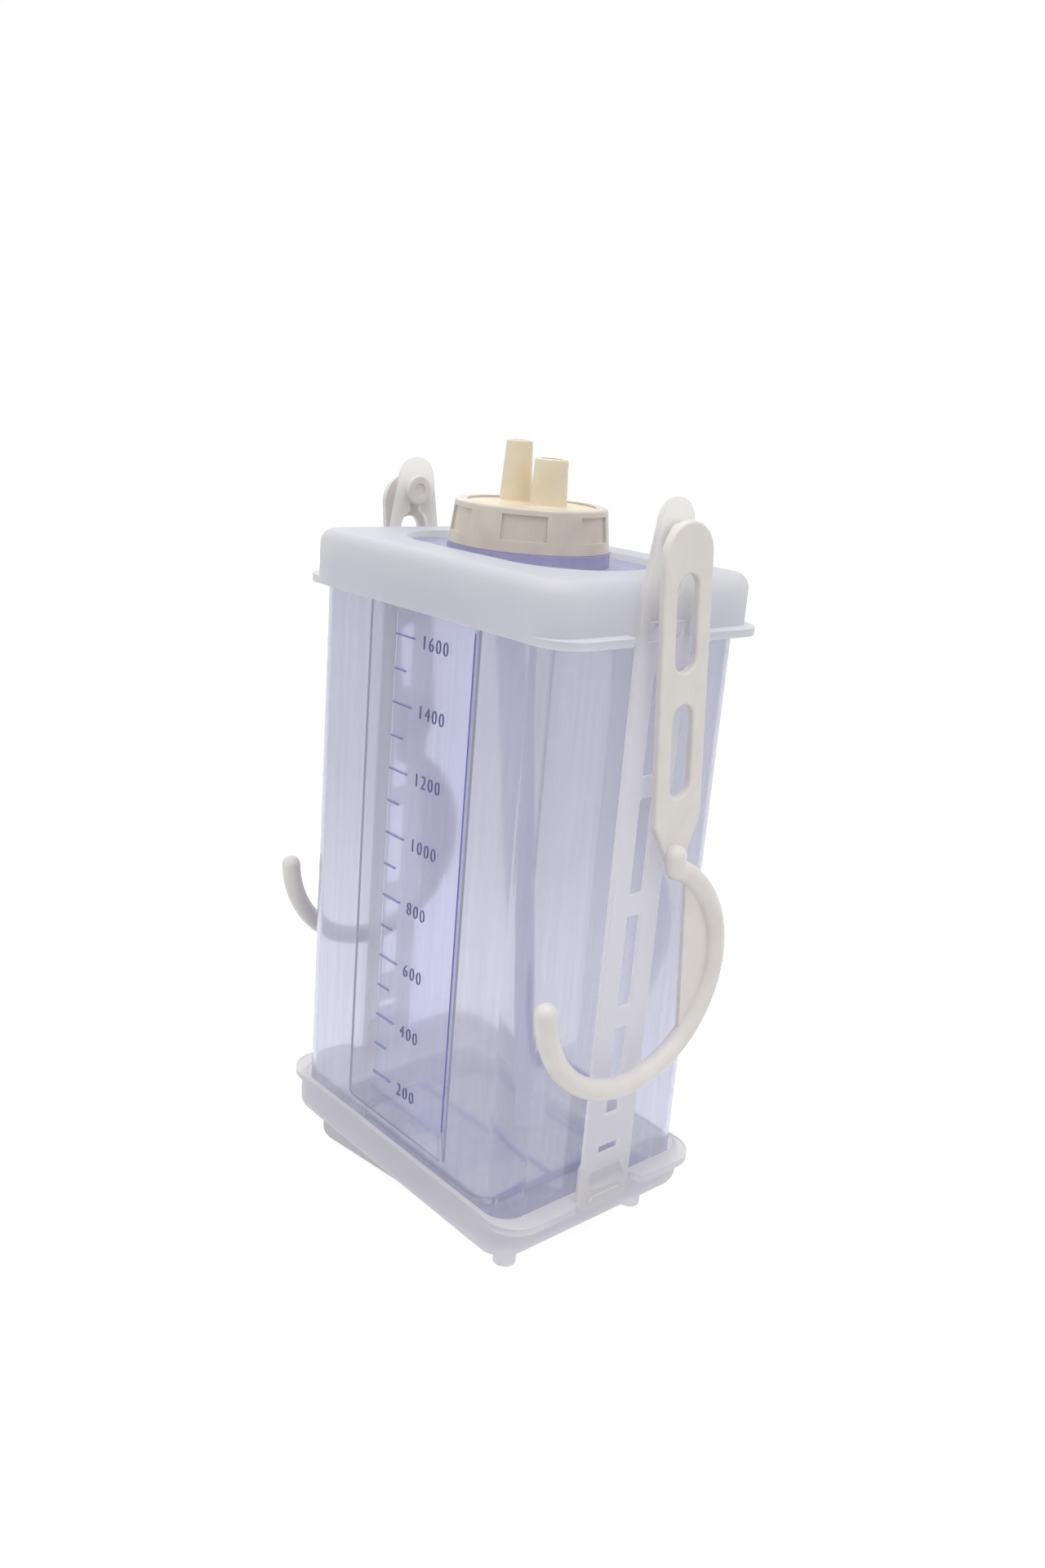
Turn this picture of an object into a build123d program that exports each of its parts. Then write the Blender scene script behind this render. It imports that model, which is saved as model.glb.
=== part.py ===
from build123d import *
import math
import os

os.makedirs("parts", exist_ok=True)

# Chest drain unit for fluid drained from the chest: a clear blow-moulded bottle
# of about 1.8 litres, held between a moulded cover and a moulded tray by two
# strap plates, with a screw cap that clamps a plate with two tube spouts, a dip
# tube, two hooks to hang it from a bed rail and a swing-out floor stand.
# Millimetres. X runs across the wide front, the front faces -Y, Z is up and the
# floor is at Z = 0. The straps stand on the two narrow sides, at +X and -X.

# Cutters reach this far past the faces that they cut through
past = 1.0

# Bottle
bottle_width = 120.0
bottle_depth = 84.0
bottle_height = 216.5
bottle_corner = 9.0
bottle_wall = 1.5
shoulder_round = 5.0
heel_round = 3.2
panel_width = 41.0
panel_depth = 5.1
panel_side_spread = 7.7
panel_foot_height = 22.8
panel_head_drop = 17.5
panel_ramp = 5.3
panel_corner = 2.5
base_pocket_end_margin = 23.0
base_pocket_side_margin = 13.0
base_pocket_rise = 2.4
base_pocket_corner = 8.0
weld_bead_width = 1.4
weld_bead_rise = 0.7

# Volume scale on the front panel: marks every 100 ml, numbered marks are long
scale_zero_rise = 5.8
scale_step = 11.53
scale_margin = 3.0
tick_long = 10.2
tick_short = 6.4
tick_height = 0.7
tick_proud = 0.4

# Neck and screw cap
neck_ring_radius = 27.0
neck_ring_height = 4.6
neck_ring_wall = 2.0
neck_radius = 21.8
neck_bore_radius = 19.6
neck_rise = 9.4
cap_radius_low = 26.6
cap_radius_high = 25.0
cap_thread_room = 1.4
cap_lip_thickness = 1.6
cap_lip_gap = 0.06
cap_lip_opening_radius = 21.2
cap_edge_round = 1.0
cap_gap = 0.4
cap_panels = 6
cap_panel_angle = 33.0
cap_panel_first = 14.0
cap_panel_foot = 3.6
cap_panel_height = 8.0
cap_panel_depth = 0.8
gasket_thickness = 1.4
gasket_gap = 0.1

# Spout plate and dip tube
plate_flange_thickness = 1.6
plate_side_gap = 0.3
plate_sink = 0.6
tall_spout_x = -8.4
tall_spout_height = 19.8
tall_spout_radius_low = 5.45
tall_spout_radius_high = 4.3
tall_spout_bore_radius = 2.9
short_spout_x = 7.9
short_spout_height = 15.2
short_spout_radius_low = 6.05
short_spout_radius_high = 5.4
short_spout_bore_radius = 3.8
spout_foot_round = 1.0
spout_lip_round = 0.5
tube_radius = 5.0
tube_bore_radius = 3.5
nipple_gap = 0.05
nipple_wall = 1.0
nipple_length = 12.0
tube_straight = 22.0
tube_floor_gap = 17.4
tube_lean = 34.0
tube_bend_radius = 120.0

# Cover and tray
shell_gap = 1.0
shell_wall = 2.0
shell_corner = 10.5
shell_edge_round = 5.0
cover_height = 18.7
tray_height = 15.1
flange_reach = 5.0
flange_thickness = 2.5
flange_corner = 11.5
flange_end_round = 3.5
strap_bay_width = 29.0
opening_end_margin = 16.0
opening_side_margin = 17.2
opening_end_flat = 5.6
seat_rib_width = 1.6
seat_rib_length = 16.0
seat_rib_rise = 1.6
foot_radius = 3.9
foot_height = 10.0
foot_end_margin = 13.0
foot_side_margin = 15.0

# Latches between the shells and the straps
pawl_width = 14.4
pawl_height = 5.6
pawl_land = 1.0
pawl_proud = 3.4
tray_pawl_lock = 17.5
cover_pawl_lock = 12.4
tongue_width = 20.0
tongue_rise = 10.5

# Strap plates
strap_width = 22.4
strap_thickness = 1.8
strap_gap = 0.05
strap_bottom = 8.7
strap_corner_cut = 2.5
strap_shoulder_drop = 5.1
strap_tip_width = 15.0
strap_top_margin = 11.6
strap_edge_cut = 0.45
latch_window_width = 15.6
latch_clearance = 0.4
ladder_window_width = 7.0
ladder_window_corner = 0.8
ladder_windows = 4
ladder_bar = 6.8
ladder_foot_margin = 25.9
ladder_head_margin = 15.9
small_window_width = 10.2
small_window_height = 3.8
small_window_rise = 11.3
grip_rib_length = 14.0
grip_rib_width = 2.2
grip_rib_proud = 0.8
grip_rib_drop = 4.7
keyhole_radius = 6.0
keyhole_drop = 13.0

# Hooks
pivot_rise = 12.4
stud_radius = 2.5
stud_clearance = 0.06
stud_head_radius = 5.2
stud_head_thickness = 1.7
stud_head_gap = 0.2
stud_dimple_radius = 2.5
stud_dimple_depth = 0.6
spacer_radius = 4.2
spacer_gap = 0.2
hook_plate_width = 20.4
hook_plate_thickness = 2.5
hook_plate_top = 5.5
hook_edge_round = 0.9
hook_flange_clearance = 0.4
hook_slot_width = 9.3
hook_slot_top = 9.8
hook_slot_bar = 10.0
hook_slot_foot_margin = 8.0
hook_taper_length = 14.0
hook_taper_overlap = 3.5
hook_tip_width = 6.6
hook_rod_radius = 3.5
hook_rod_offset = 0.2
hook_bow_radius = 37.5
hook_bow_y = -18.5
hook_bow_drop = 136.5
hook_bow_start = 63.0
hook_tip_rise = 1.8
hook_knuckle_y = -2.0
hook_knuckle_rise = 4.6
hook_web_y = 3.5
hook_web_thickness = 1.6
hook_swing = 5.7

# Floor stand
stand_length_left = 57.0
stand_length_right = 40.0
stand_width = 68.4
stand_corner = 9.0
stand_edge_round = 4.0
stand_wall = 2.0
stand_gap = 0.3
stand_swing = 7.0
stand_post_radius = 5.0
stand_post_clearance = 0.06
stand_head_radius = 6.4
stand_head_height = 1.4
stand_head_gap = 0.15
stand_boss_radius = 9.0
stand_rib_thickness = 1.6

# Levels and outlines that follow from the sizes above
tray_bottom = foot_height
bottle_base = tray_bottom + shell_wall
shoulder_level = bottle_base + bottle_height
cover_top = shoulder_level + seat_rib_rise + shell_wall
neck_ring_top = shoulder_level + neck_ring_height
neck_top = neck_ring_top + neck_rise
plate_flange_bottom = neck_top + gasket_gap + gasket_thickness
plate_flange_top = plate_flange_bottom + plate_flange_thickness
cap_bottom = neck_ring_top + cap_gap
cap_top = plate_flange_top + cap_lip_gap + cap_lip_thickness
cap_height = cap_top - cap_bottom
cap_bore_radius = neck_radius + cap_thread_room
plate_top = cap_top - plate_sink
nipple_radius = tube_bore_radius - nipple_gap
shell_width = bottle_width + 2 * (shell_gap + shell_wall)
shell_depth = bottle_depth + 2 * (shell_gap + shell_wall)
shell_side = shell_width / 2
opening_width = shell_width - 2 * opening_end_margin
opening_depth = shell_depth - 2 * opening_side_margin
opening_corner = (opening_depth - opening_end_flat) / 2
strap_inner = shell_side + strap_gap
strap_outer = strap_inner + strap_thickness
hook_plate_inner = shell_side + flange_reach + hook_flange_clearance
hook_bow_head_y = hook_bow_y + hook_bow_radius * math.cos(math.radians(hook_bow_start))
hook_bow_head = -hook_bow_drop + hook_bow_radius * math.sin(math.radians(hook_bow_start))
hook_knuckle = hook_bow_head + hook_knuckle_rise
hook_taper_end = hook_knuckle - hook_taper_overlap
hook_taper_start = hook_taper_end + hook_taper_length
hook_slots_length = -hook_taper_start - hook_slot_foot_margin - hook_slot_top
hook_slot_length = (hook_slots_length - hook_slot_bar) / 2
pivot_height = cover_top + pivot_rise
strap_top = pivot_height + strap_top_margin
strap_shoulder = cover_top - strap_shoulder_drop
tray_lock_level = tray_bottom + tray_pawl_lock
cover_lock_level = cover_top - cover_pawl_lock
ladder_foot = tray_lock_level + ladder_foot_margin
ladder_head = cover_lock_level - ladder_head_margin


def write(name, shape):
    shape.label = name
    export_step(shape, f"parts/{name}.step")


def rounded_block(width, depth, height, corner):
    return extrude(RectangleRounded(width, depth, corner), height)


def bottle_form(inset):
    """The bottle's outer form, or the space inside it when inset by its wall."""
    form = rounded_block(bottle_width - 2 * inset, bottle_depth - 2 * inset,
                         bottle_height - 2 * inset, bottle_corner - inset)
    form = fillet(form.edges().group_by(Axis.Z)[-1], shoulder_round - inset)
    form = fillet(form.edges().group_by(Axis.Z)[0], heel_round - inset)
    pocket = rounded_block(bottle_width - 2 * (base_pocket_end_margin - inset),
                           bottle_depth - 2 * (base_pocket_side_margin - inset),
                           base_pocket_rise, base_pocket_corner + inset)
    form = Pos(0, 0, bottle_base + inset) * (form - pocket)
    for side in (-1, 1):
        form -= panel_cut(side, inset)
    return form


def panel_cut(side, inset):
    """A sunk panel whose four sides all slope, cut into the front or the back."""
    side_slope = panel_side_spread / panel_depth
    end_slope = panel_ramp / panel_depth
    floor = bottle_depth / 2 - panel_depth - inset
    sections = []
    for y in (floor, bottle_depth / 2 + past):
        across = side_slope * (y - floor) + inset * (math.hypot(1, side_slope) - side_slope)
        along = end_slope * (y - floor) + inset * (math.hypot(1, end_slope) - end_slope)
        foot = bottle_base + panel_foot_height - along
        head = shoulder_level - panel_head_drop + along
        plane = Plane((0, side * y, (foot + head) / 2), x_dir=(1, 0, 0), z_dir=(0, side, 0))
        sections.append(plane * RectangleRounded(panel_width + 2 * across, head - foot,
                                                 panel_corner))
    return loft(sections)


def scale_ticks():
    """Raised marks on the front panel, every second one long."""
    panel_y = -bottle_depth / 2 + panel_depth
    zero = bottle_base + scale_zero_rise
    lowest = bottle_base + panel_foot_height + scale_margin
    highest = shoulder_level - panel_head_drop - scale_margin
    first = math.ceil((lowest - zero) / scale_step)
    last = math.floor((highest - zero) / scale_step)
    ticks = []
    for i in range(first, last + 1):
        length = tick_long if i % 2 == 0 else tick_short
        x = -panel_width / 2 + length / 2
        ticks.append(Pos(x, panel_y, zero + i * scale_step) * Box(
            length, 2 * tick_proud, tick_height))
    return ticks


def bottle():
    """The clear bottle: walls of one thickness, sunk panels, neck and floor bead."""
    body = bottle_form(0) - bottle_form(bottle_wall)
    under = shoulder_level - bottle_wall
    step = neck_ring_top - neck_ring_wall
    step_radius = neck_ring_radius - neck_ring_wall
    neck = revolve(Plane.XZ * make_face(Polyline(
        (step_radius, under), (neck_ring_radius, under),
        (neck_ring_radius, neck_ring_top), (neck_radius, neck_ring_top),
        (neck_radius, neck_top), (neck_bore_radius, neck_top), (neck_bore_radius, step),
        (step_radius, step), close=True)), Axis.Z)
    bore = Pos(0, 0, shoulder_level) * Cylinder(step_radius, 2 * (bottle_wall + past))
    floor = bottle_base + base_pocket_rise + bottle_wall
    bead = Pos(0, 0, floor) * Box(bottle_width - 2 * base_pocket_end_margin,
                                  weld_bead_width, 2 * weld_bead_rise)
    body = body - bore + neck + bead
    for tick in scale_ticks():
        body += tick
    return body


def shell(height, pawl_lock):
    """A shallow shell with its floor at Z = 0 and its mouth up: wall, flange and pawls."""
    body = rounded_block(shell_width, shell_depth, height, shell_corner)
    body = fillet(body.edges().group_by(Axis.Z)[0], shell_edge_round)
    inside = rounded_block(shell_width - 2 * shell_wall, shell_depth - 2 * shell_wall,
                           height, shell_corner - shell_wall)
    inside = fillet(inside.edges().group_by(Axis.Z)[0], shell_edge_round - shell_wall)
    rim = height - flange_thickness
    flange = rounded_block(shell_width + 2 * flange_reach, shell_depth, flange_thickness,
                           flange_corner)
    bay = Box(shell_width + 4 * flange_reach, strap_bay_width, 4 * flange_thickness)
    core = Box(shell_width - 2 * shell_corner, 2 * shell_depth, 4 * flange_thickness)
    flange = flange - bay - core
    ends = [e for e in flange.edges().filter_by(Axis.Z)
            if abs(abs(e.center().X) - shell_side - flange_reach) < 0.01
            and abs(abs(e.center().Y) - strap_bay_width / 2) < 0.01]
    flange = fillet(ends, flange_end_round)
    body = body + Pos(0, 0, rim) * flange
    body -= Pos(0, 0, shell_wall) * inside
    for side in (-1, 1):
        body += pawl(side, pawl_lock)
    return body


def pawl(side, lock):
    """A wedge that the strap's window snaps over, with its catch towards the floor."""
    x = shell_side - shell_wall / 2
    tip = shell_side + pawl_proud
    ramp = [(side * x, lock), (side * tip, lock), (side * tip, lock + pawl_land),
            (side * shell_side, lock + pawl_height), (side * x, lock + pawl_height)]
    face = Plane.XZ * make_face(Polyline(*ramp, close=True))
    return extrude(face, pawl_width / 2, both=True)


def top_cover():
    """The cover: a shell turned over, with an opening round the neck and seat ribs."""
    body = shell(cover_height, cover_pawl_lock)
    opening = rounded_block(opening_width, opening_depth, 3 * shell_wall, opening_corner)
    body -= Pos(0, 0, -shell_wall) * opening
    rib_x = opening_width / 2 - seat_rib_length / 2
    rib_y = (opening_depth / 2 + shell_depth / 2 - shell_wall) / 2
    for i in (-1, 1):
        for j in (-1, 1):
            body += (Pos(i * rib_x, j * rib_y, shell_wall + seat_rib_rise / 2)
                     * Box(seat_rib_length, seat_rib_width, seat_rib_rise))
    return Pos(0, 0, cover_top) * Rot(180, 0, 0) * body


def bottom_tray():
    """The tray: wall tongues carry its pawls, two feet stand at the right-hand end."""
    body = shell(tray_height, tray_pawl_lock)
    for side in (-1, 1):
        tongue = Plane.YZ * Rectangle(tongue_width, tongue_rise + shell_wall)
        tongue = extrude(tongue, shell_wall)
        tops = tongue.edges().filter_by(Axis.X).group_by(Axis.Z)[-1]
        tongue = fillet(tops, shell_wall)
        x = shell_side - shell_wall if side > 0 else -shell_side
        body += Pos(x, 0, tray_height + (tongue_rise - shell_wall) / 2) * tongue
    foot_x = shell_side - foot_end_margin
    foot_y = shell_depth / 2 - foot_side_margin
    for j in (-1, 1):
        body += Pos(foot_x, j * foot_y, (shell_wall - foot_height) / 2) * Cylinder(
            foot_radius, foot_height + shell_wall)
    body -= Cylinder(stand_post_radius + stand_post_clearance, 4 * shell_wall)
    return Pos(0, 0, tray_bottom) * body


def strap(side):
    """A flat strap plate with latch windows, a ladder of long windows and a keyhole."""
    half = strap_width / 2
    tip = strap_tip_width / 2
    tip_z = strap_top - tip
    cut = strap_corner_cut
    low = tray_bottom + strap_bottom
    sides = Polyline((-tip, tip_z), (-half, strap_shoulder), (-half, low + cut),
                     (-half + cut, low), (half - cut, low), (half, low + cut),
                     (half, strap_shoulder), (tip, tip_z))
    top = RadiusArc((tip, tip_z), (-tip, tip_z), -tip)
    face = make_face(sides.edges() + top.edges())
    plate = extrude(Plane.YZ * face, strap_thickness)
    plate = chamfer(plate.edges().group_by(Axis.X)[-1], strap_edge_cut)
    plate -= strap_windows()
    rib = Pos(0, tray_lock_level - grip_rib_drop) * SlotOverall(grip_rib_length, grip_rib_width)
    plate += extrude(Plane.YZ * rib, strap_thickness + grip_rib_proud)
    plate = Pos(strap_inner, 0, 0) * plate
    return plate if side > 0 else mirror(plate, Plane.YZ)


def strap_windows():
    """Every cut-out of a strap plate, as one group of cutters through its thickness."""
    cuts = Sketch()
    low = tray_lock_level - latch_clearance / 2
    high = tray_lock_level + pawl_height + latch_clearance
    cuts += Pos(0, (low + high) / 2) * Rectangle(latch_window_width, high - low)
    high = cover_lock_level + latch_clearance / 2
    low = cover_lock_level - pawl_height - latch_clearance
    cuts += Pos(0, (low + high) / 2) * Rectangle(latch_window_width, high - low)
    small = tray_lock_level + small_window_rise + small_window_height / 2
    cuts += Pos(0, small) * Rectangle(small_window_width, small_window_height)
    pitch = (ladder_head - ladder_foot + ladder_bar) / ladder_windows
    for i in range(ladder_windows):
        middle = ladder_foot + i * pitch + (pitch - ladder_bar) / 2
        cuts += Pos(0, middle) * RectangleRounded(
            ladder_window_width, pitch - ladder_bar, ladder_window_corner)
    throat = stud_radius + stud_clearance
    cuts += Pos(0, pivot_height - keyhole_drop) * Circle(keyhole_radius)
    cuts += Pos(0, pivot_height - keyhole_drop / 2) * Rectangle(2 * throat, keyhole_drop)
    cuts += Pos(0, pivot_height) * Circle(throat)
    return Pos(-past, 0, 0) * extrude(Plane.YZ * cuts, strap_thickness + 2 * past)


def hook_plate():
    """The flat upper part of a hook: round top, two slots and a tapered lower end."""
    half = hook_plate_width / 2
    centre = hook_plate_top - half
    tip = hook_tip_width / 2
    sides = Polyline((-half, centre), (-half, hook_taper_start), (-tip, hook_taper_end),
                     (tip, hook_taper_end), (half, hook_taper_start), (half, centre))
    top = RadiusArc((half, centre), (-half, centre), -half)
    face = make_face(sides.edges() + top.edges())
    for i in range(2):
        start = hook_slot_top + i * (hook_slot_length + hook_slot_bar)
        face -= Pos(0, -start - hook_slot_length / 2) * Rot(0, 0, 90) * SlotOverall(
            hook_slot_length, hook_slot_width)
    plate = extrude(Plane.YZ * face, hook_plate_thickness)
    return fillet(plate.edges().group_by(Axis.X)[-1], hook_edge_round)


def hook_rod():
    """The round J: a knuckle at the plate's end, a bow of constant radius and a tip."""
    left = hook_bow_y - hook_bow_radius
    bow = CenterArc((hook_bow_y, -hook_bow_drop), hook_bow_radius, hook_bow_start,
                    -180 - hook_bow_start)
    tip = Line((left, -hook_bow_drop), (left, -hook_bow_drop + hook_tip_rise))
    path = Plane.YZ * Wire(bow.edges() + tip.edges())
    rod = sweep(Plane(path @ 0, z_dir=path % 0) * Circle(hook_rod_radius), path)
    rod += Pos(0, left, -hook_bow_drop + hook_tip_rise) * Sphere(hook_rod_radius)
    rod += Pos(0, hook_knuckle_y, hook_bow_head + hook_knuckle_rise / 2) * Cylinder(
        hook_rod_radius, hook_knuckle_rise)
    for y, z in ((hook_knuckle_y, hook_knuckle), (hook_knuckle_y, hook_bow_head),
                 (hook_bow_head_y, hook_bow_head)):
        rod += Pos(0, y, z) * Sphere(hook_rod_radius)
    return rod


def hook_web():
    """The thin web that stiffens the bow, between a straight chord and the rod."""
    reach = math.acos((hook_web_y - hook_bow_y) / hook_bow_radius)
    rise = hook_bow_radius * math.sin(reach)
    chord = Line((hook_web_y, -hook_bow_drop - rise), (hook_web_y, -hook_bow_drop + rise))
    arc = RadiusArc(chord @ 1, chord @ 0, hook_bow_radius)
    return extrude(Plane.YZ * make_face(chord.edges() + arc.edges()), hook_web_thickness)


def hook(side):
    """One hook, hung on its stud and swung a little to the back as it hangs at rest."""
    rod_x = hook_rod_radius + hook_rod_offset
    body = hook_plate() + Pos(rod_x, 0, 0) * hook_rod() + Pos(
        rod_x - hook_web_thickness, 0, 0) * hook_web()
    spacer = hook_plate_inner - strap_outer - spacer_gap
    stud = hook_plate_inner - strap_inner + stud_head_gap
    body += Pos(-spacer / 2, 0, 0) * Rot(0, 90, 0) * Cylinder(spacer_radius, spacer)
    body += Pos(-stud / 2, 0, 0) * Rot(0, 90, 0) * Cylinder(stud_radius, stud)
    head = Rot(0, 90, 0) * Cylinder(stud_head_radius, stud_head_thickness)
    head = fillet(head.edges().group_by(Axis.X)[0], stud_dimple_depth)
    head -= Pos(-stud_head_thickness / 2, 0, 0) * Rot(0, 90, 0) * Cylinder(
        stud_dimple_radius, 2 * stud_dimple_depth)
    body += Pos(-stud - stud_head_thickness / 2, 0, 0) * head
    body = Pos(hook_plate_inner, 0, pivot_height) * Rot(hook_swing, 0, 0) * body
    return body if side > 0 else mirror(body, Plane.YZ)


def cap_ring():
    """The screw ring: a tapered skirt with six sunk grip panels and a lip on top."""
    lip_bottom = cap_top - cap_lip_thickness
    profile = make_face(Polyline(
        (cap_bore_radius, cap_bottom), (cap_radius_low, cap_bottom),
        (cap_radius_high, cap_top), (cap_lip_opening_radius, cap_top),
        (cap_lip_opening_radius, lip_bottom), (cap_bore_radius, lip_bottom), close=True))
    body = revolve(Plane.XZ * profile, Axis.Z)
    rim = body.edges().filter_by(GeomType.CIRCLE).filter_by(
        lambda e: abs(e.radius - cap_radius_high) < 0.01)
    body = fillet(rim, cap_edge_round)
    slope = (cap_radius_high - cap_radius_low) / cap_height
    foot = cap_panel_foot
    head = foot + cap_panel_height
    floor = [(cap_radius_low + slope * z - cap_panel_depth, cap_bottom + z) for z in (foot, head)]
    outside = cap_radius_low + past
    cutter = make_face(Polyline(floor[0], (outside, floor[0][1]), (outside, floor[1][1]),
                                floor[1], close=True))
    cutter = revolve(Plane.XZ * cutter, Axis.Z, cap_panel_angle)
    for i in range(cap_panels):
        angle = cap_panel_first - cap_panel_angle / 2 + i * 360 / cap_panels
        body -= Rot(0, 0, angle) * cutter
    return body


def spout(x, height, low, high):
    """A tapered hose spout standing on the plate, still without its bore."""
    body = revolve(Plane.XZ * make_face(Polyline(
        (0, -spout_foot_round), (low, -spout_foot_round), (low, 0), (high, height),
        (0, height), close=True)), Axis.Z)
    tip = body.edges().filter_by(GeomType.CIRCLE).group_by(Axis.Z)[-1]
    body = fillet(tip, spout_lip_round)
    return Pos(x, 0, plate_top) * body


def spout_plate():
    """The plate that the ring clamps: flange, raised disc, two spouts and a nipple."""
    flange_radius = cap_bore_radius - plate_side_gap
    disc_radius = cap_lip_opening_radius - plate_side_gap
    body = revolve(Plane.XZ * make_face(Polyline(
        (0, plate_flange_bottom), (flange_radius, plate_flange_bottom),
        (flange_radius, plate_flange_top), (disc_radius, plate_flange_top),
        (disc_radius, plate_top), (0, plate_top), close=True)), Axis.Z)
    body += spout(tall_spout_x, tall_spout_height, tall_spout_radius_low,
                  tall_spout_radius_high)
    body += spout(short_spout_x, short_spout_height, short_spout_radius_low,
                  short_spout_radius_high)
    feet = [e for e in body.edges().filter_by(GeomType.CIRCLE)
            if abs(e.center().Z - plate_top) < 0.01 and e.radius < disc_radius / 2]
    body = fillet(feet, spout_foot_round)
    body += Pos(tall_spout_x, 0, plate_flange_bottom - nipple_length / 2) * Cylinder(
        nipple_radius, nipple_length)
    reach = 2 * (tall_spout_height + plate_top - plate_flange_bottom + nipple_length)
    body -= Pos(tall_spout_x, 0, plate_top) * Cylinder(nipple_radius - nipple_wall, reach)
    body -= Pos(tall_spout_x, 0, plate_flange_top + reach / 2) * Cylinder(
        tall_spout_bore_radius, reach)
    body -= Pos(short_spout_x, 0, plate_top) * Cylinder(short_spout_bore_radius, reach)
    return body


def cap_gasket():
    """The flat ring between the plate's flange and the mouth of the neck."""
    ring = Cylinder(neck_radius, gasket_thickness) - Cylinder(neck_bore_radius, gasket_thickness)
    return Pos(0, 0, plate_flange_bottom - gasket_thickness / 2) * ring


def dip_tube():
    """The soft tube pushed on the nipple, leaning to a point just above the floor."""
    top = plate_flange_bottom
    knee = top - tube_straight
    end = bottle_base + bottle_wall + tube_floor_gap
    points = [(tall_spout_x, top), (tall_spout_x, knee), (tall_spout_x + tube_lean, end)]
    path = Plane.XZ * FilletPolyline(*points, radius=tube_bend_radius)
    section = Plane(path @ 0, z_dir=path % 0) * (Circle(tube_radius) - Circle(tube_bore_radius))
    return sweep(section, path)


def floor_stand():
    """The swing-out stand: a shallow dish that turns on a post snapped into the tray."""
    length = stand_length_left + stand_length_right
    middle = (stand_length_right - stand_length_left) / 2
    height = foot_height - stand_gap
    body = rounded_block(length, stand_width, height, stand_corner)
    body = fillet(body.edges().group_by(Axis.Z)[0], stand_edge_round)
    inside = rounded_block(length - 2 * stand_wall, stand_width - 2 * stand_wall,
                           height, stand_corner - stand_wall)
    body = Pos(middle, 0, 0) * (body - Pos(0, 0, stand_wall) * inside)
    rib_height = height - stand_wall
    rib_z = stand_wall + rib_height / 2
    body += Pos(middle, 0, rib_z) * Box(length - stand_wall, stand_rib_thickness, rib_height)
    body += Pos(0, 0, rib_z) * Box(stand_rib_thickness, stand_width - stand_wall, rib_height)
    body += Pos(0, 0, rib_z) * Cylinder(stand_boss_radius, rib_height)
    post = tray_bottom + shell_wall + stand_head_gap
    body += Pos(0, 0, post / 2) * Cylinder(stand_post_radius, post)
    head = Pos(0, 0, post + stand_head_height / 2) * Cylinder(
        stand_head_radius, stand_head_height)
    head = chamfer(head.edges().group_by(Axis.Z)[-1], stand_head_height / 2)
    body += head
    return Rot(0, 0, stand_swing) * body


write("bottle", bottle())
write("top_cover", top_cover())
write("bottom_tray", bottom_tray())
write("strap_right", strap(1))
write("strap_left", strap(-1))
write("hook_right", hook(1))
write("hook_left", hook(-1))
write("cap_ring", cap_ring())
write("spout_plate", spout_plate())
write("cap_gasket", cap_gasket())
write("dip_tube", dip_tube())
write("floor_stand", floor_stand())
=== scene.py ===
# %% [markdown]
# # Dressing a chest drain unit
# The part is a clear drain bottle held between a milky cover and tray, with two
# hooks, a screw cap with two spouts, a dip tube and a swing-out floor stand. The
# solids arrive as fixed bodies. This lesson gives them their plastics, adds the
# scale's numerals and the cap's two threads, and sets the camera, floor and light.

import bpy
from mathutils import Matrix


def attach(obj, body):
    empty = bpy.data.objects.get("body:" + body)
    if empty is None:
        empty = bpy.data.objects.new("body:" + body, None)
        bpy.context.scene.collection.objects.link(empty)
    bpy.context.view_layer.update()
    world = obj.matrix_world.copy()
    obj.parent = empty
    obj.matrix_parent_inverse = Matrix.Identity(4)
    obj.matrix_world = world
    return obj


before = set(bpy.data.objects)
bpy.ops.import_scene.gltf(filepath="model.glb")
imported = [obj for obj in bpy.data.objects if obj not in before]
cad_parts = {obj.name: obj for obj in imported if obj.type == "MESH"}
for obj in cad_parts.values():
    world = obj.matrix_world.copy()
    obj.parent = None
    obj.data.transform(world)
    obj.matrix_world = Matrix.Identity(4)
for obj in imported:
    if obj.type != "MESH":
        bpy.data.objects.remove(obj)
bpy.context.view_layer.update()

import math

import bmesh
import bpy
from mathutils import Matrix, Vector

MM = 0.001
scene = bpy.context.scene

# %% [markdown]
# The photograph is taken from the right of the graduated front, a little from
# above, with the camera tipped slightly. A camera could be aimed with a
# constraint, but a fixed place, heading, tilt and roll say the same thing plainly
# and can be compared with the photograph.

# %% Camera
HEADING, TILT, ROLL = math.radians(47.738), math.radians(16.636), math.radians(4.713)
CAMERA_AT = Vector((327.8, -291.9, 282.3)) * MM
LENS_MM, FILM_HEIGHT_MM = 30.234, 36.0
CLIP_NEAR, CLIP_FAR = 0.01, 100

look = Vector((-math.sin(HEADING) * math.cos(TILT), math.cos(HEADING) * math.cos(TILT),
               -math.sin(TILT)))
level = Vector((math.cos(HEADING), math.sin(HEADING), 0))
upward = level.cross(look)
right = level * math.cos(ROLL) + upward * math.sin(ROLL)
top = upward * math.cos(ROLL) - level * math.sin(ROLL)

lens = bpy.data.cameras.new("camera")
lens.sensor_fit = "VERTICAL"
lens.sensor_height = FILM_HEIGHT_MM
lens.sensor_width = FILM_HEIGHT_MM
lens.lens = LENS_MM
lens.clip_start, lens.clip_end = CLIP_NEAR, CLIP_FAR
camera = bpy.data.objects.new("camera", lens)
scene.collection.objects.link(camera)
turn = Matrix((right, top, -look)).transposed().to_4x4()
camera.matrix_world = Matrix.Translation(CAMERA_AT) @ turn
scene.camera = camera
print("camera", tuple(round(v, 4) for v in CAMERA_AT), "lens", LENS_MM)

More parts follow.
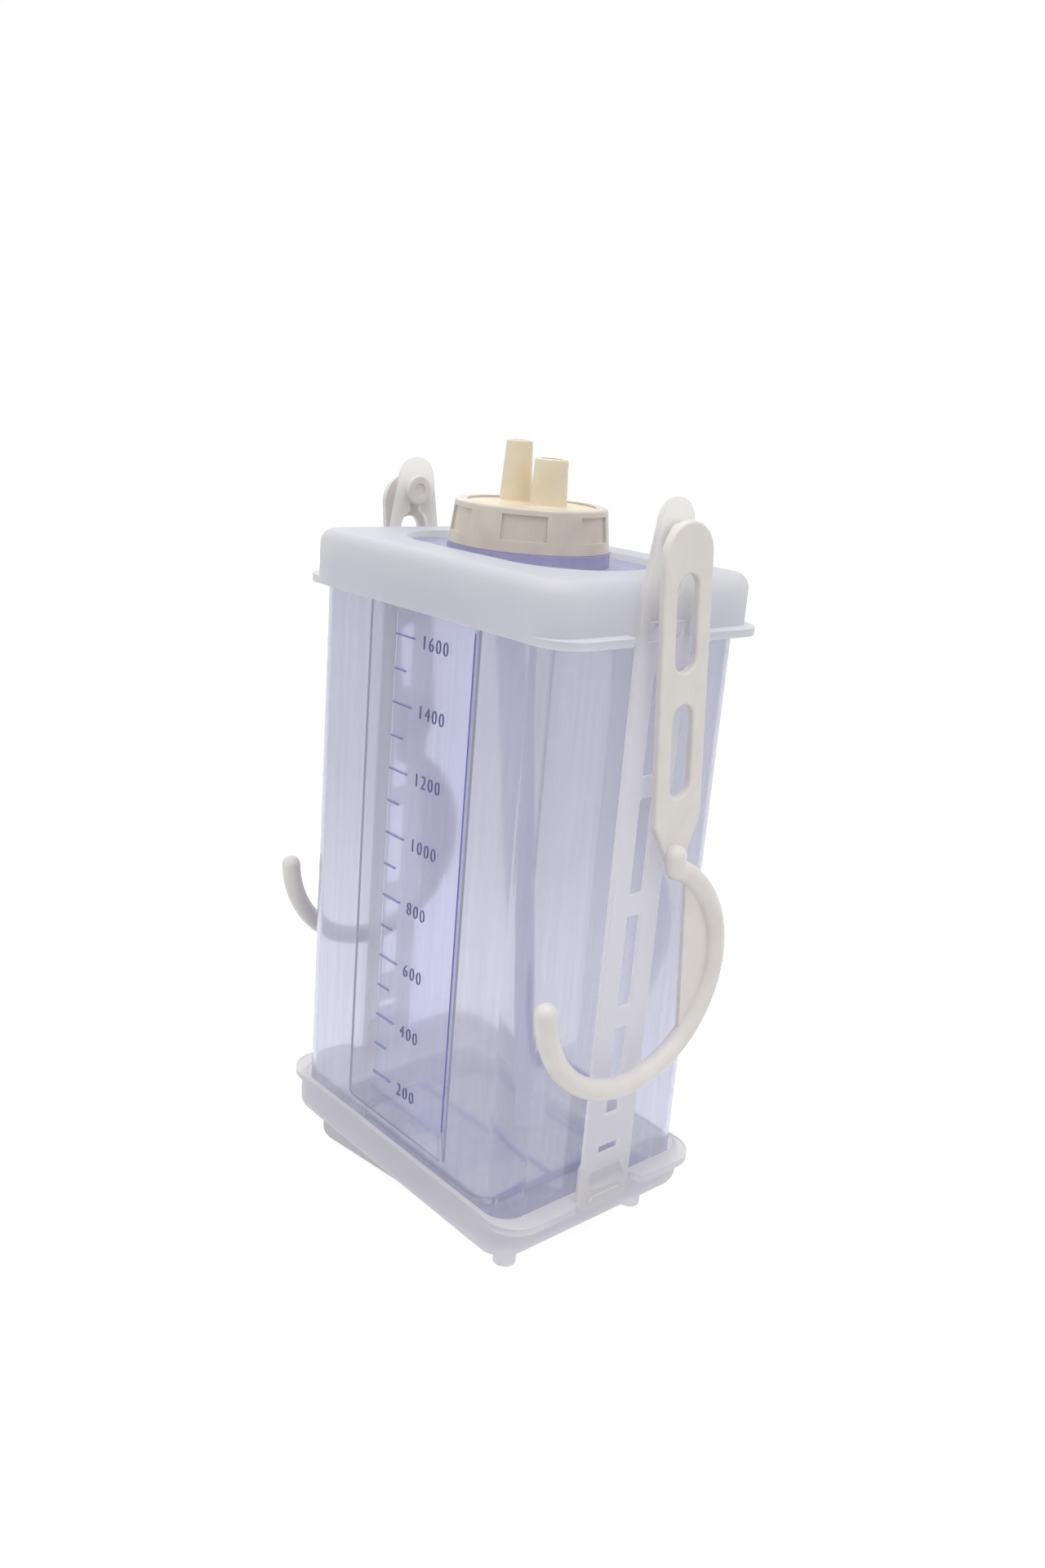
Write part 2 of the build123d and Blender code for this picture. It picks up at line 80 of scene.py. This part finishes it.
# %% [markdown]
# Every finish below is a small tree of nodes. One function adds a node, sets its
# values and plugs in its links, and one turns the usual hex colours of a
# designer's chart, which are sRGB, into the linear numbers that a shader takes.

# %% Helpers for finishes
def linear(code):
    """An sRGB hex colour such as "#d5d6da" as linear red, green, blue and alpha."""
    parts = [int(code[i:i + 2], 16) / 255 for i in (1, 3, 5)]
    parts = [p / 12.92 if p <= 0.04045 else ((p + 0.055) / 1.055) ** 2.4 for p in parts]
    return (*parts, 1.0)


def add_node(tree, kind, values=None, links=None, **settings):
    """Adds one node: its settings, the values of its inputs, and its incoming links."""
    node = tree.nodes.new(kind)
    for key, value in settings.items():
        setattr(node, key, value)
    for key, value in (values or {}).items():
        node.inputs[key].default_value = value
    for key, source in (links or {}).items():
        tree.links.new(source, node.inputs[key])
    return node


def empty_material(name):
    """A material without nodes, and its tree to fill."""
    material = bpy.data.materials.new(name)
    material.use_nodes = True
    material.node_tree.nodes.clear()
    return material, material.node_tree


def per_mm(size_mm):
    """The scale of a pattern whose repeat is this many millimetres long."""
    return 1 / (size_mm * MM)


def dress(finish, *nodes):
    """Gives solids of the frame their finish."""
    for node in nodes:
        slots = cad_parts[node].data.materials
        slots.clear()
        slots.append(finish)
    print(finish.name, "on", ", ".join(nodes))


# %% [markdown]
# Floor and room melt into one white where the eye looks at them, straight, in a
# gloss or through clear plastic. Those are the camera, glossy and transmission
# rays. Every other ray only carries light, and meets them at their plain level.

# %% What the eye sees
def seen_by_eye(tree):
    """1 for the camera's, glossy and transmission rays, 0 for the rest."""
    path = add_node(tree, "ShaderNodeLightPath")
    direct = add_node(tree, "ShaderNodeMath", operation="MAXIMUM",
                      links={0: path.outputs["Is Camera Ray"],
                             1: path.outputs["Is Glossy Ray"]})
    return add_node(tree, "ShaderNodeMath", operation="MAXIMUM",
                    links={0: direct.outputs[0],
                           1: path.outputs["Is Transmission Ray"]}).outputs[0]


# %% [markdown]
# The floor is a wide white card. For the eye it glows enough to melt into the
# white backdrop, while its own matt surface still takes the unit's soft shadow.

# %% Floor
FLOOR_REACH = 12.0
FLOOR_GLOW = 0.62

card = bmesh.new()
bmesh.ops.create_grid(card, x_segments=1, y_segments=1, size=FLOOR_REACH)
floor_mesh = bpy.data.meshes.new("floor")
card.to_mesh(floor_mesh)
card.free()
floor = bpy.data.objects.new("floor", floor_mesh)
scene.collection.objects.link(floor)

white_card, tree = empty_material("matt_white_card")
lift = add_node(tree, "ShaderNodeMath", operation="MULTIPLY", values={1: FLOOR_GLOW},
                links={0: seen_by_eye(tree)})
glow = add_node(tree, "ShaderNodeEmission", links={"Strength": lift.outputs[0]})
matt = add_node(tree, "ShaderNodeBsdfDiffuse", values={"Color": linear("#e6e6e6")})
both = add_node(tree, "ShaderNodeAddShader", links={0: glow.outputs[0], 1: matt.outputs[0]})
add_node(tree, "ShaderNodeOutputMaterial", links={"Surface": both.outputs[0]})
floor_mesh.materials.append(white_card)
print("floor card reaches", FLOOR_REACH, "m each way")

# %% [markdown]
# The light is a plain studio: an even pale room and four large soft boxes, the
# strongest one overhead and a weak one behind the far side. The room is white
# where the eye looks at it, and a little darker as a source of light.

# %% Light
ROOM_LIGHT = 0.54
LAMPS_AIM = (0, 0, 0.12)

room = bpy.data.worlds.new("studio_room")
scene.world = room
room.use_nodes = True
tree = room.node_tree
tree.nodes.clear()
room_level = add_node(tree, "ShaderNodeMapRange", values={"To Min": ROOM_LIGHT, "To Max": 1.0},
                      links={"Value": seen_by_eye(tree)})
sky = add_node(tree, "ShaderNodeBackground", values={"Color": linear("#ffffff")},
               links={"Strength": room_level.outputs[0]})
add_node(tree, "ShaderNodeOutputWorld", links={"Surface": sky.outputs[0]})


def soft_box(name, place, size, power):
    """A square area lamp at a place, turned to the middle of the unit."""
    lamp = bpy.data.lights.new(name, "AREA")
    lamp.shape = "SQUARE"
    lamp.size = size
    lamp.energy = power
    box = bpy.data.objects.new(name, lamp)
    box.location = place
    to_unit = Vector(LAMPS_AIM) - Vector(place)
    box.rotation_euler = to_unit.to_track_quat("-Z", "Y").to_euler()
    scene.collection.objects.link(box)
    print(name, size, "m,", power, "W")


soft_box("ceiling_box", (0.25, -0.1, 1.6), size=1.2, power=10.8)
soft_box("key_box", (-0.7, -1.1, 1.2), size=0.9, power=3.6)
soft_box("side_box", (1.3, 0.1, 0.9), size=0.8, power=1.3)
soft_box("rim_box", (-1.3, 0.5, 0.9), size=0.8, power=2.5)
scene.view_settings.view_transform = "Standard"

# %% [markdown]
# Clear and milky plastics let light into what lies behind them. A path tracer
# finds that light slowly through real refraction, so the inside would stay dark
# and noisy. The usual answer is to let the rays that only carry light, the shadow
# rays and the diffuse ones, pass straight through and take on the plastic's tint,
# while everything that the eye follows still bends and blurs.

# %% Let light through
def lit_through(tree, surface, tint, share):
    """Lets this share of the light-carrying rays pass the surface, tinted."""
    path = add_node(tree, "ShaderNodeLightPath")
    carried = add_node(tree, "ShaderNodeMath", operation="MAXIMUM",
                       links={0: path.outputs["Is Shadow Ray"],
                              1: path.outputs["Is Diffuse Ray"]})
    let_in = add_node(tree, "ShaderNodeMath", operation="MULTIPLY", values={1: share},
                      links={0: carried.outputs[0]})
    clear = add_node(tree, "ShaderNodeBsdfTransparent", values={"Color": linear(tint)})
    return add_node(tree, "ShaderNodeMixShader",
                    links={0: let_in.outputs[0], 1: surface, 2: clear.outputs[0]}).outputs[0]


def glow_body(tree, colour):
    """A matt body that scatters half of its light back and half on to its far side."""
    front = add_node(tree, "ShaderNodeBsdfDiffuse", values={"Color": linear(colour)})
    back = add_node(tree, "ShaderNodeBsdfTranslucent", values={"Color": linear(colour)})
    return add_node(tree, "ShaderNodeMixShader", values={0: 0.5},
                    links={1: front.outputs[0], 2: back.outputs[0]}).outputs[0]


# %% [markdown]
# The bottle is one piece of plastic with details in different places: marks, a
# floor bead, rims and a neck. They could be separate pieces, but they are part of
# the wall, so a mask picks each one out by where it is, in millimetres.

# %% Masks by place
def between(tree, value, low_mm, high_mm):
    """1 where a coordinate lies between two places, 0 elsewhere."""
    over = add_node(tree, "ShaderNodeMath", operation="GREATER_THAN",
                    values={1: low_mm * MM}, links={0: value})
    under = add_node(tree, "ShaderNodeMath", operation="LESS_THAN",
                     values={1: high_mm * MM}, links={0: value})
    return add_node(tree, "ShaderNodeMath", operation="MULTIPLY",
                    links={0: over.outputs[0], 1: under.outputs[0]}).outputs[0]


def inside(tree, place, **limits_mm):
    """1 where each named coordinate lies between its two places, 0 elsewhere."""
    masks = [between(tree, place.outputs[axis], *ends) for axis, ends in limits_mm.items()]
    joined = masks[0]
    for mask in masks[1:]:
        joined = add_node(tree, "ShaderNodeMath", operation="MULTIPLY",
                          links={0: joined, 1: mask}).outputs[0]
    return joined


# %% [markdown]
# The bottle is rigid plastic, blow moulded, clear with a faint violet-blue tint
# and a light haze. Its shader is built in steps, and these are the sizes that the
# masks need. The volume marks repeat, so one distance, folded back and forth,
# finds the middle of each of them.

# %% The bottle's lines
PANEL_Y_MM, PANEL_HALF_MM = -36.9, 20.5
MARKS_X_MM, MARKS_Z_MM = (-20.4, -9.0), (27.0, 208.0)
MARK_DEPTH_MM = (0.1, 0.6)
FIRST_VOLUME_Z_MM, VOLUME_STEP_MM = 40.86, 23.06
MARK_LINE_MM = 0.38
FLOOR_Z_MM, FLOOR_LINE_MM = (12.4, 17.0), 0.35
FLOOR_POCKET_X_MM, FLOOR_POCKET_Y_MM = 37.0, 29.0
RIM_LINE_MM, RIM_Z_MM, RIM_DEPTH_MM = 0.5, (35.5, 210.0), (0.1, 0.3)

clear_pvc, tree = empty_material("clear_blow_moulded_pvc")
at = add_node(tree, "ShaderNodeTexCoord")
place = add_node(tree, "ShaderNodeSeparateXYZ", links={"Vector": at.outputs["Object"]})

from_mark = add_node(tree, "ShaderNodeMath", operation="SUBTRACT",
                     values={1: FIRST_VOLUME_Z_MM * MM}, links={0: place.outputs["Z"]})
from_mark = add_node(tree, "ShaderNodeMath", operation="PINGPONG",
                     values={1: VOLUME_STEP_MM / 4 * MM}, links={0: from_mark.outputs[0]})
middle = add_node(tree, "ShaderNodeMath", operation="LESS_THAN",
                  values={1: MARK_LINE_MM / 2 * MM}, links={0: from_mark.outputs[0]})
scale = inside(tree, place, X=MARKS_X_MM, Z=MARKS_Z_MM,
               Y=(PANEL_Y_MM - MARK_DEPTH_MM[1], PANEL_Y_MM - MARK_DEPTH_MM[0]))
lines = add_node(tree, "ShaderNodeMath", operation="MULTIPLY",
                 links={0: scale, 1: middle.outputs[0]}).outputs[0]
bead = inside(tree, place, X=(-FLOOR_POCKET_X_MM, FLOOR_POCKET_X_MM),
              Y=(-FLOOR_LINE_MM, FLOOR_LINE_MM), Z=FLOOR_Z_MM)
pocket_edge = inside(tree, place, Y=(-FLOOR_POCKET_Y_MM, FLOOR_POCKET_Y_MM), Z=FLOOR_Z_MM,
                     X=(FLOOR_POCKET_X_MM - FLOOR_LINE_MM, FLOOR_POCKET_X_MM + FLOOR_LINE_MM))
rim = inside(tree, place, X=(PANEL_HALF_MM - RIM_LINE_MM, PANEL_HALF_MM), Z=RIM_Z_MM,
             Y=(PANEL_Y_MM - RIM_DEPTH_MM[0], PANEL_Y_MM + RIM_DEPTH_MM[1]))
for more in (bead, pocket_edge, rim):
    lines = add_node(tree, "ShaderNodeMath", operation="MAXIMUM",
                     links={0: lines, 1: more}).outputs[0]
print("volume marks every", VOLUME_STEP_MM / 2, "mm from", FIRST_VOLUME_Z_MM, "mm")

# %% [markdown]
# Plastic darkens with the length of the way through it. Most of the tint sits in
# the volume, as it does in life. The rest is on the surface: violet in the thick
# panel, and blue where the wall is seen edge on. Layer Weight gives that last one.
# The wall is also paler near the base and deeper above, painted light that lifts
# the shade low in the bottle. The blue is held back on the far rim of the panel,
# which paints a pale highlight along that edge.

# %% The bottle's tint and painted light
PALE_BELOW_MM, DEEP_ABOVE_MM = 40.0, 150.0
EDGE_ON_FROM = 0.72
PAINTED_HIGHLIGHT_RIM_X_MM, PAINTED_HIGHLIGHT_RIM_SHARE = (-32.0, -17.0), 0.2

# Painted light: the wall's colour is paler towards the base, which lifts the shade that falls
# low in the bottle.
height = add_node(tree, "ShaderNodeMapRange",
                  values={"From Min": PALE_BELOW_MM * MM, "From Max": DEEP_ABOVE_MM * MM},
                  links={"Value": place.outputs["Z"]})
wall = add_node(tree, "ShaderNodeMix", data_type="RGBA",
                values={6: linear("#fdfdfe"), 7: linear("#e1e1e3")},
                links={0: height.outputs[0]})
in_panel = inside(tree, place, X=(-PANEL_HALF_MM, PANEL_HALF_MM), Y=(PANEL_Y_MM - 1, 0))
thick = add_node(tree, "ShaderNodeMix", data_type="RGBA", values={7: linear("#e9eafb")},
                 links={0: in_panel, 6: wall.outputs[2]})
facing = add_node(tree, "ShaderNodeLayerWeight", values={"Blend": 0.5})
edge_on = add_node(tree, "ShaderNodeMapRange",
                   values={"From Min": EDGE_ON_FROM, "From Max": 1.0},
                   links={"Value": facing.outputs["Facing"]})
# Painted highlight: the blue edge tint is held back in a band on the panel's far rim, so that
# edge shows pale.
painted_highlight_rim = add_node(tree, "ShaderNodeMapRange",
                    values={"To Min": 1.0, "To Max": PAINTED_HIGHLIGHT_RIM_SHARE},
                    links={"Value": inside(tree, place, X=PAINTED_HIGHLIGHT_RIM_X_MM)})
edge_share = add_node(tree, "ShaderNodeMath", operation="MULTIPLY",
                      links={0: edge_on.outputs[0], 1: painted_highlight_rim.outputs[0]})
tinted = add_node(tree, "ShaderNodeMix", data_type="RGBA", values={7: linear("#747ad6")},
                  links={0: edge_share.outputs[0], 6: thick.outputs[2]})
depth_tint = add_node(tree, "ShaderNodeVolumeAbsorption",
                      values={"Color": linear("#6f72ce"), "Density": 70.0})
print("wall deepens from", PALE_BELOW_MM, "to", DEEP_ABOVE_MM, "mm")

# %% [markdown]
# What stands close behind the wall is nearly sharp, and the far side is a blur: a
# slightly rough transmission does that, and a thin matt veil stands for the haze.
# The neck is thick and full of inner reflections, which a stronger violet veil
# stands for. The tube that the bottle was blown from leaves faint upright streaks.

# %% The bottle's surface
STREAK_MM, STREAK_LENGTH_MM = 2.4, 90.0
STREAK_BUMP, BUMP_DEPTH_MM = 0.03, 0.5
BOTTLE_IOR = 1.5
HAZE_LEAST, HAZE_MOST = 0.15, 0.23
NECK_FROM_MM, NECK_FULL_MM, NECK_HAZE = 225.0, 230.0, 0.6

streaks = add_node(tree, "ShaderNodeMapping", links={"Vector": at.outputs["Object"]},
                   values={"Scale": (per_mm(STREAK_MM), per_mm(STREAK_MM),
                                     per_mm(STREAK_LENGTH_MM))})
waves = add_node(tree, "ShaderNodeTexNoise", values={"Scale": 1.0, "Detail": 2.0},
                 links={"Vector": streaks.outputs[0]})
ripple = add_node(tree, "ShaderNodeBump",
                  values={"Strength": STREAK_BUMP, "Distance": BUMP_DEPTH_MM * MM},
                  links={"Height": waves.outputs["Fac"]})
skin = add_node(tree, "ShaderNodeBsdfPrincipled",
                values={"Roughness": 0.08, "IOR": BOTTLE_IOR, "Transmission Weight": 1.0,
                        "Coat Weight": 0.5, "Coat Roughness": 0.06},
                links={"Base Color": tinted.outputs[2], "Normal": ripple.outputs[0]})
haze = add_node(tree, "ShaderNodeMapRange",
                values={"From Min": 0.3, "From Max": 0.7,
                        "To Min": HAZE_LEAST, "To Max": HAZE_MOST},
                links={"Value": waves.outputs["Fac"]})
at_neck = add_node(tree, "ShaderNodeMapRange",
                   values={"From Min": NECK_FROM_MM * MM, "From Max": NECK_FULL_MM * MM,
                           "To Max": NECK_HAZE},
                   links={"Value": place.outputs["Z"]})
milkiness = add_node(tree, "ShaderNodeMath", operation="ADD",
                     links={0: haze.outputs[0], 1: at_neck.outputs[0]})
veil = add_node(tree, "ShaderNodeMixShader",
                links={0: at_neck.outputs[0], 1: glow_body(tree, "#cfd1de"),
                       2: glow_body(tree, "#d6cdf8")})
veiled = add_node(tree, "ShaderNodeMixShader",
                  links={0: milkiness.outputs[0], 1: skin.outputs[0], 2: veil.outputs[0]})
# Painted shade: the marks, the floor bead, the pocket's edge and the panel's rim are real
# edges of the wall. The thin dark violet lines on them are painted on as a matt colour.
painted_shade_line = add_node(tree, "ShaderNodeBsdfDiffuse", values={"Color": linear("#7579bf")})
ruled = add_node(tree, "ShaderNodeMixShader",
                 links={0: lines, 1: veiled.outputs[0], 2: painted_shade_line.outputs[0]})
add_node(tree, "ShaderNodeOutputMaterial",
         links={"Surface": lit_through(tree, ruled.outputs[0], "#fcfcfe", 1.0),
                "Volume": depth_tint.outputs[0]})
dress(clear_pvc, "bottle")

# %% [markdown]
# The cover, the tray, the straps and the stand are natural polypropylene,
# injection moulded. It is milky: light goes in, scatters and comes out soft, on
# both sides of the wall. A matt body with a translucent share does that, and a
# rough transmission under it lets what lies close behind show as a blur. A fine
# bump keeps the highlights from looking polished. The real grain is too fine for
# the render, so it is drawn 0.8 mm coarse to show at all.

# %% Milky polypropylene
MILKY_IOR = 1.49
GRAIN_MM, FLOW_MM = 0.8, 22.0
GRAIN_DEPTH_MM = 0.1
CLOUD = 0.05


def milky(name, colour, see_through, roughness, let_in):
    """A milky plastic: its colour, what is seen through it, and the light it lets in."""
    material, tree = empty_material(name)
    at = add_node(tree, "ShaderNodeTexCoord")
    grain = add_node(tree, "ShaderNodeTexNoise",
                     values={"Scale": per_mm(GRAIN_MM), "Detail": 3.0},
                     links={"Vector": at.outputs["Object"]})
    flow = add_node(tree, "ShaderNodeTexNoise",
                    values={"Scale": per_mm(FLOW_MM), "Detail": 1.0},
                    links={"Vector": at.outputs["Object"]})
    cloud = add_node(tree, "ShaderNodeMapRange",
                     values={"From Min": 0.3, "From Max": 0.7,
                             "To Min": see_through - CLOUD, "To Max": see_through + CLOUD},
                     links={"Value": flow.outputs["Fac"]})
    fine = add_node(tree, "ShaderNodeBump",
                    values={"Strength": 0.12, "Distance": GRAIN_DEPTH_MM * MM},
                    links={"Height": grain.outputs["Fac"]})
    clear = add_node(tree, "ShaderNodeBsdfPrincipled",
                     values={"Base Color": linear(colour), "Roughness": roughness,
                             "IOR": MILKY_IOR, "Transmission Weight": 1.0},
                     links={"Normal": fine.outputs[0]})
    body = add_node(tree, "ShaderNodeMixShader",
                    links={0: cloud.outputs[0], 1: glow_body(tree, colour),
                           2: clear.outputs[0]})
    add_node(tree, "ShaderNodeOutputMaterial",
             links={"Surface": lit_through(tree, body.outputs[0], colour, let_in)})
    return material


cover_pp = milky("natural_polypropylene_cover", "#f1f1f2",
                 see_through=0.3, roughness=0.42, let_in=0.92)
tray_pp = milky("natural_polypropylene_tray", "#f3f2f2",
                see_through=0.5, roughness=0.42, let_in=0.97)
strap_pp = milky("natural_polypropylene_strap", "#faf9f7",
                 see_through=0.3, roughness=0.35, let_in=0.97)
stand_pp = milky("natural_polypropylene_stand", "#f0f0ef",
                 see_through=0.25, roughness=0.4, let_in=0.75)
dress(cover_pp, "top_cover")
dress(tray_pp, "bottom_tray")
dress(strap_pp, "strap_right", "strap_left")
dress(stand_pp, "floor_stand")

# %% [markdown]
# The dip tube is soft clear vinyl, extruded. It has gone slightly cloudy, and
# shows behind the bottle's wall as a pale bluish-grey band.

# %% Dip tube
tube_vinyl = milky("soft_vinyl_tube", "#f0f1f8", see_through=0.35, roughness=0.25, let_in=0.97)
dress(tube_vinyl, "dip_tube")

# %% [markdown]
# The hooks are opaque warm-white acetal, the spouts ivory polyethylene and the cap
# the same with less pigment. They are solid colours with a soft gloss and a faint
# mottle from the mould. A touch of subsurface scattering keeps their thin edges
# from going dead. Their grain is drawn coarse too, for the same reason.

# %% Opaque moulded plastics
OPAQUE_IOR = 1.5
MOTTLE_MM, OPAQUE_GRAIN_MM = 9.0, 0.7


def moulded(name, colour, shade, roughness, glow_mm):
    """An opaque moulding: colour, its slightly darker mottle, roughness, scatter depth."""
    material, tree = empty_material(name)
    at = add_node(tree, "ShaderNodeTexCoord")
    mottle = add_node(tree, "ShaderNodeTexNoise",
                      values={"Scale": per_mm(MOTTLE_MM), "Detail": 2.0},
                      links={"Vector": at.outputs["Object"]})
    grain = add_node(tree, "ShaderNodeTexNoise",
                     values={"Scale": per_mm(OPAQUE_GRAIN_MM), "Detail": 2.0},
                     links={"Vector": at.outputs["Object"]})
    spread = add_node(tree, "ShaderNodeMapRange", values={"From Min": 0.35, "From Max": 0.65},
                      links={"Value": mottle.outputs["Fac"]})
    tone = add_node(tree, "ShaderNodeMix", data_type="RGBA",
                    values={6: linear(colour), 7: linear(shade)},
                    links={0: spread.outputs[0]})
    fine = add_node(tree, "ShaderNodeBump",
                    values={"Strength": 0.1, "Distance": GRAIN_DEPTH_MM * MM},
                    links={"Height": grain.outputs["Fac"]})
    body = add_node(tree, "ShaderNodeBsdfPrincipled",
                    values={"Roughness": roughness, "IOR": OPAQUE_IOR,
                            "Subsurface Weight": 0.25,
                            "Subsurface Radius": (1.0, 0.9, 0.8),
                            "Subsurface Scale": glow_mm * MM},
                    links={"Base Color": tone.outputs[2], "Normal": fine.outputs[0]})
    add_node(tree, "ShaderNodeOutputMaterial", links={"Surface": body.outputs[0]})
    return material


hook_pom = moulded("warm_white_acetal", "#ede8e4", "#e8e3de", roughness=0.38, glow_mm=1.2)
cap_pe = moulded("pale_ivory_polyethylene", "#ddd4c7", "#d5ccbf", roughness=0.3, glow_mm=2.5)
spout_pe = moulded("ivory_polyethylene", "#eee2c9", "#e9dcc1", roughness=0.34, glow_mm=2.5)
gasket_rubber = moulded("natural_rubber", "#cfccc2", "#c6c2b8", roughness=0.6, glow_mm=0.8)
dress(hook_pom, "hook_right", "hook_left")
dress(cap_pe, "cap_ring")
dress(spout_pe, "spout_plate")
dress(gasket_rubber, "cap_gasket")

# %% [markdown]
# The numerals and the threads below are new pieces. Each one is shaped in a bmesh
# where it belongs, so its object stays at the origin as the solids' objects do.
# One function hands a finished shape over to the body that it moves with.

# %% Hand a new piece over
def add_piece(name, shape, finish, body):
    """Makes a finished shape a piece that moves with a body."""
    mesh = bpy.data.meshes.new(name)
    shape.to_mesh(mesh)
    shape.free()
    mesh.materials.append(finish)
    piece = bpy.data.objects.new(name, mesh)
    scene.collection.objects.link(piece)
    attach(piece, body)
    print(name, "has", len(mesh.polygons), "faces and rides on", body)


# %% [markdown]
# The numerals stand beside every long mark, raised on the sunk panel. Text is the
# natural start. The scale has its own narrow, evenly spaced figures, so each
# figure is a text of its own, with a slight inset that thins its strokes. It is
# given its thickness, made a mesh and only then placed. The figures are of the
# bottle's plastic, but so small that the eye reads them as violet.

# %% Numerals
VOLUMES_ML = range(200, 1601, 200)
NUMERAL_HEIGHT_MM, NUMERAL_PITCH_MM, NUMERAL_PROUD_MM = 5.0, 3.75, 0.3
NUMERAL_THINNED_MM, NUMERAL_NARROWED = 0.17, 0.82
NUMERALS_START_MM, NUMERAL_DROP_MM = -6.9, 0.6
CAPITALS_SHARE = 0.73
CURVE_STEPS = 4

numeral_pvc, tree = empty_material("clear_pvc_raised_numeral")
at = add_node(tree, "ShaderNodeTexCoord")
cloud = add_node(tree, "ShaderNodeTexNoise", values={"Scale": per_mm(3.0)},
                 links={"Vector": at.outputs["Object"]})
rough = add_node(tree, "ShaderNodeMapRange", values={"To Min": 0.15, "To Max": 0.3},
                 links={"Value": cloud.outputs["Fac"]})
raised = add_node(tree, "ShaderNodeBsdfPrincipled",
                  values={"Base Color": linear("#7276aa"), "IOR": BOTTLE_IOR,
                          "Transmission Weight": 0.25},
                  links={"Roughness": rough.outputs[0]})
add_node(tree, "ShaderNodeOutputMaterial", links={"Surface": raised.outputs[0]})


def figure_mesh(figure):
    """One figure as a mesh of its thickness, lying flat at the origin."""
    text = bpy.data.curves.new(f"figure_{figure}", "FONT")
    text.body = figure
    text.size = NUMERAL_HEIGHT_MM * MM / CAPITALS_SHARE
    text.align_x, text.align_y = "CENTER", "CENTER"
    text.offset = -NUMERAL_THINNED_MM * MM
    text.extrude = NUMERAL_PROUD_MM * MM
    text.resolution_u = CURVE_STEPS
    carrier = bpy.data.objects.new(f"figure_{figure}", text)
    scene.collection.objects.link(carrier)
    bpy.context.view_layer.update()
    mesh = bpy.data.meshes.new_from_object(carrier)
    bpy.data.objects.remove(carrier)
    bpy.data.curves.remove(text)
    return mesh


stand_up = Matrix.Rotation(math.radians(90), 4, "X")
narrow = Matrix.Diagonal((NUMERAL_NARROWED, 1, 1, 1))
for step, volume in enumerate(VOLUMES_ML):
    mark_z_mm = FIRST_VOLUME_Z_MM + step * VOLUME_STEP_MM
    number = bmesh.new()
    for i, figure in enumerate(str(volume)):
        mesh = figure_mesh(figure)
        x_mm = NUMERALS_START_MM + (i + 0.5) * NUMERAL_PITCH_MM
        spot = (x_mm * MM, PANEL_Y_MM * MM, (mark_z_mm - NUMERAL_DROP_MM) * MM)
        mesh.transform(Matrix.Translation(spot) @ stand_up @ narrow)
        number.from_mesh(mesh)
        bpy.data.meshes.remove(mesh)
    add_piece(f"numeral_{volume}", number, numeral_pvc, "frame")

# %% [markdown]
# The cap screws down on a coarse thread with a pitch of 4 mm. The solids leave a
# plain gap there, so both threads are made here. Each is one small profile that
# spin carries up a helix, and its crest runs out at both ends. They start half a
# turn apart, which sets one thread in the middle of the other's gap.

# %% Neck and cap threads
THREAD_PITCH_MM, THREAD_TURNS, STEPS_PER_TURN = 4.0, 1.25, 48
THREAD_ROOT_MM, THREAD_CREST_MM = 1.8, 0.8
THREAD_START_Z_MM = 235.2
RUN_OUT = 0.9
NEAR_MM = 0.1


def thread(name, root_mm, crest_mm, start_turn, finish, body):
    """A right-handed thread between two radii, from a part of a turn round the axis."""
    shape = bmesh.new()
    profile = [(root_mm, -THREAD_ROOT_MM / 2), (crest_mm, -THREAD_CREST_MM / 2),
               (crest_mm, THREAD_CREST_MM / 2), (root_mm, THREAD_ROOT_MM / 2)]
    first = [shape.verts.new((r * MM, 0, (THREAD_START_Z_MM + z_mm) * MM))
             for r, z_mm in profile]
    face = shape.faces.new(first)
    bmesh.ops.rotate(shape, verts=first, cent=(0, 0, 0),
                     matrix=Matrix.Rotation(math.tau * start_turn, 3, "Z"))
    steps = round(STEPS_PER_TURN * THREAD_TURNS)
    rise = THREAD_PITCH_MM * THREAD_TURNS / steps * MM
    swept = bmesh.ops.spin(shape, geom=[face, *face.edges, *first], cent=(0, 0, 0),
                           axis=(0, 0, 1), dvec=(0, 0, rise),
                           angle=math.tau * THREAD_TURNS, steps=steps)
    last = [part for part in swept["geom_last"] if isinstance(part, bmesh.types.BMVert)]
    for end in (first, last):
        crest = [v for v in end if abs(v.co.xy.length - crest_mm * MM) < NEAR_MM * MM]
        outward = Vector((*crest[0].co.xy, 0)).normalized()
        bmesh.ops.translate(shape, verts=crest,
                            vec=outward * RUN_OUT * (root_mm - crest_mm) * MM)
    bmesh.ops.recalc_face_normals(shape, faces=shape.faces)
    add_piece(name, shape, finish, body)


thread("neck_thread", root_mm=21.6, crest_mm=22.9, start_turn=0.0, finish=clear_pvc,
       body="frame")
thread("cap_thread", root_mm=23.4, crest_mm=22.05, start_turn=0.5, finish=cap_pe,
       body="cap")
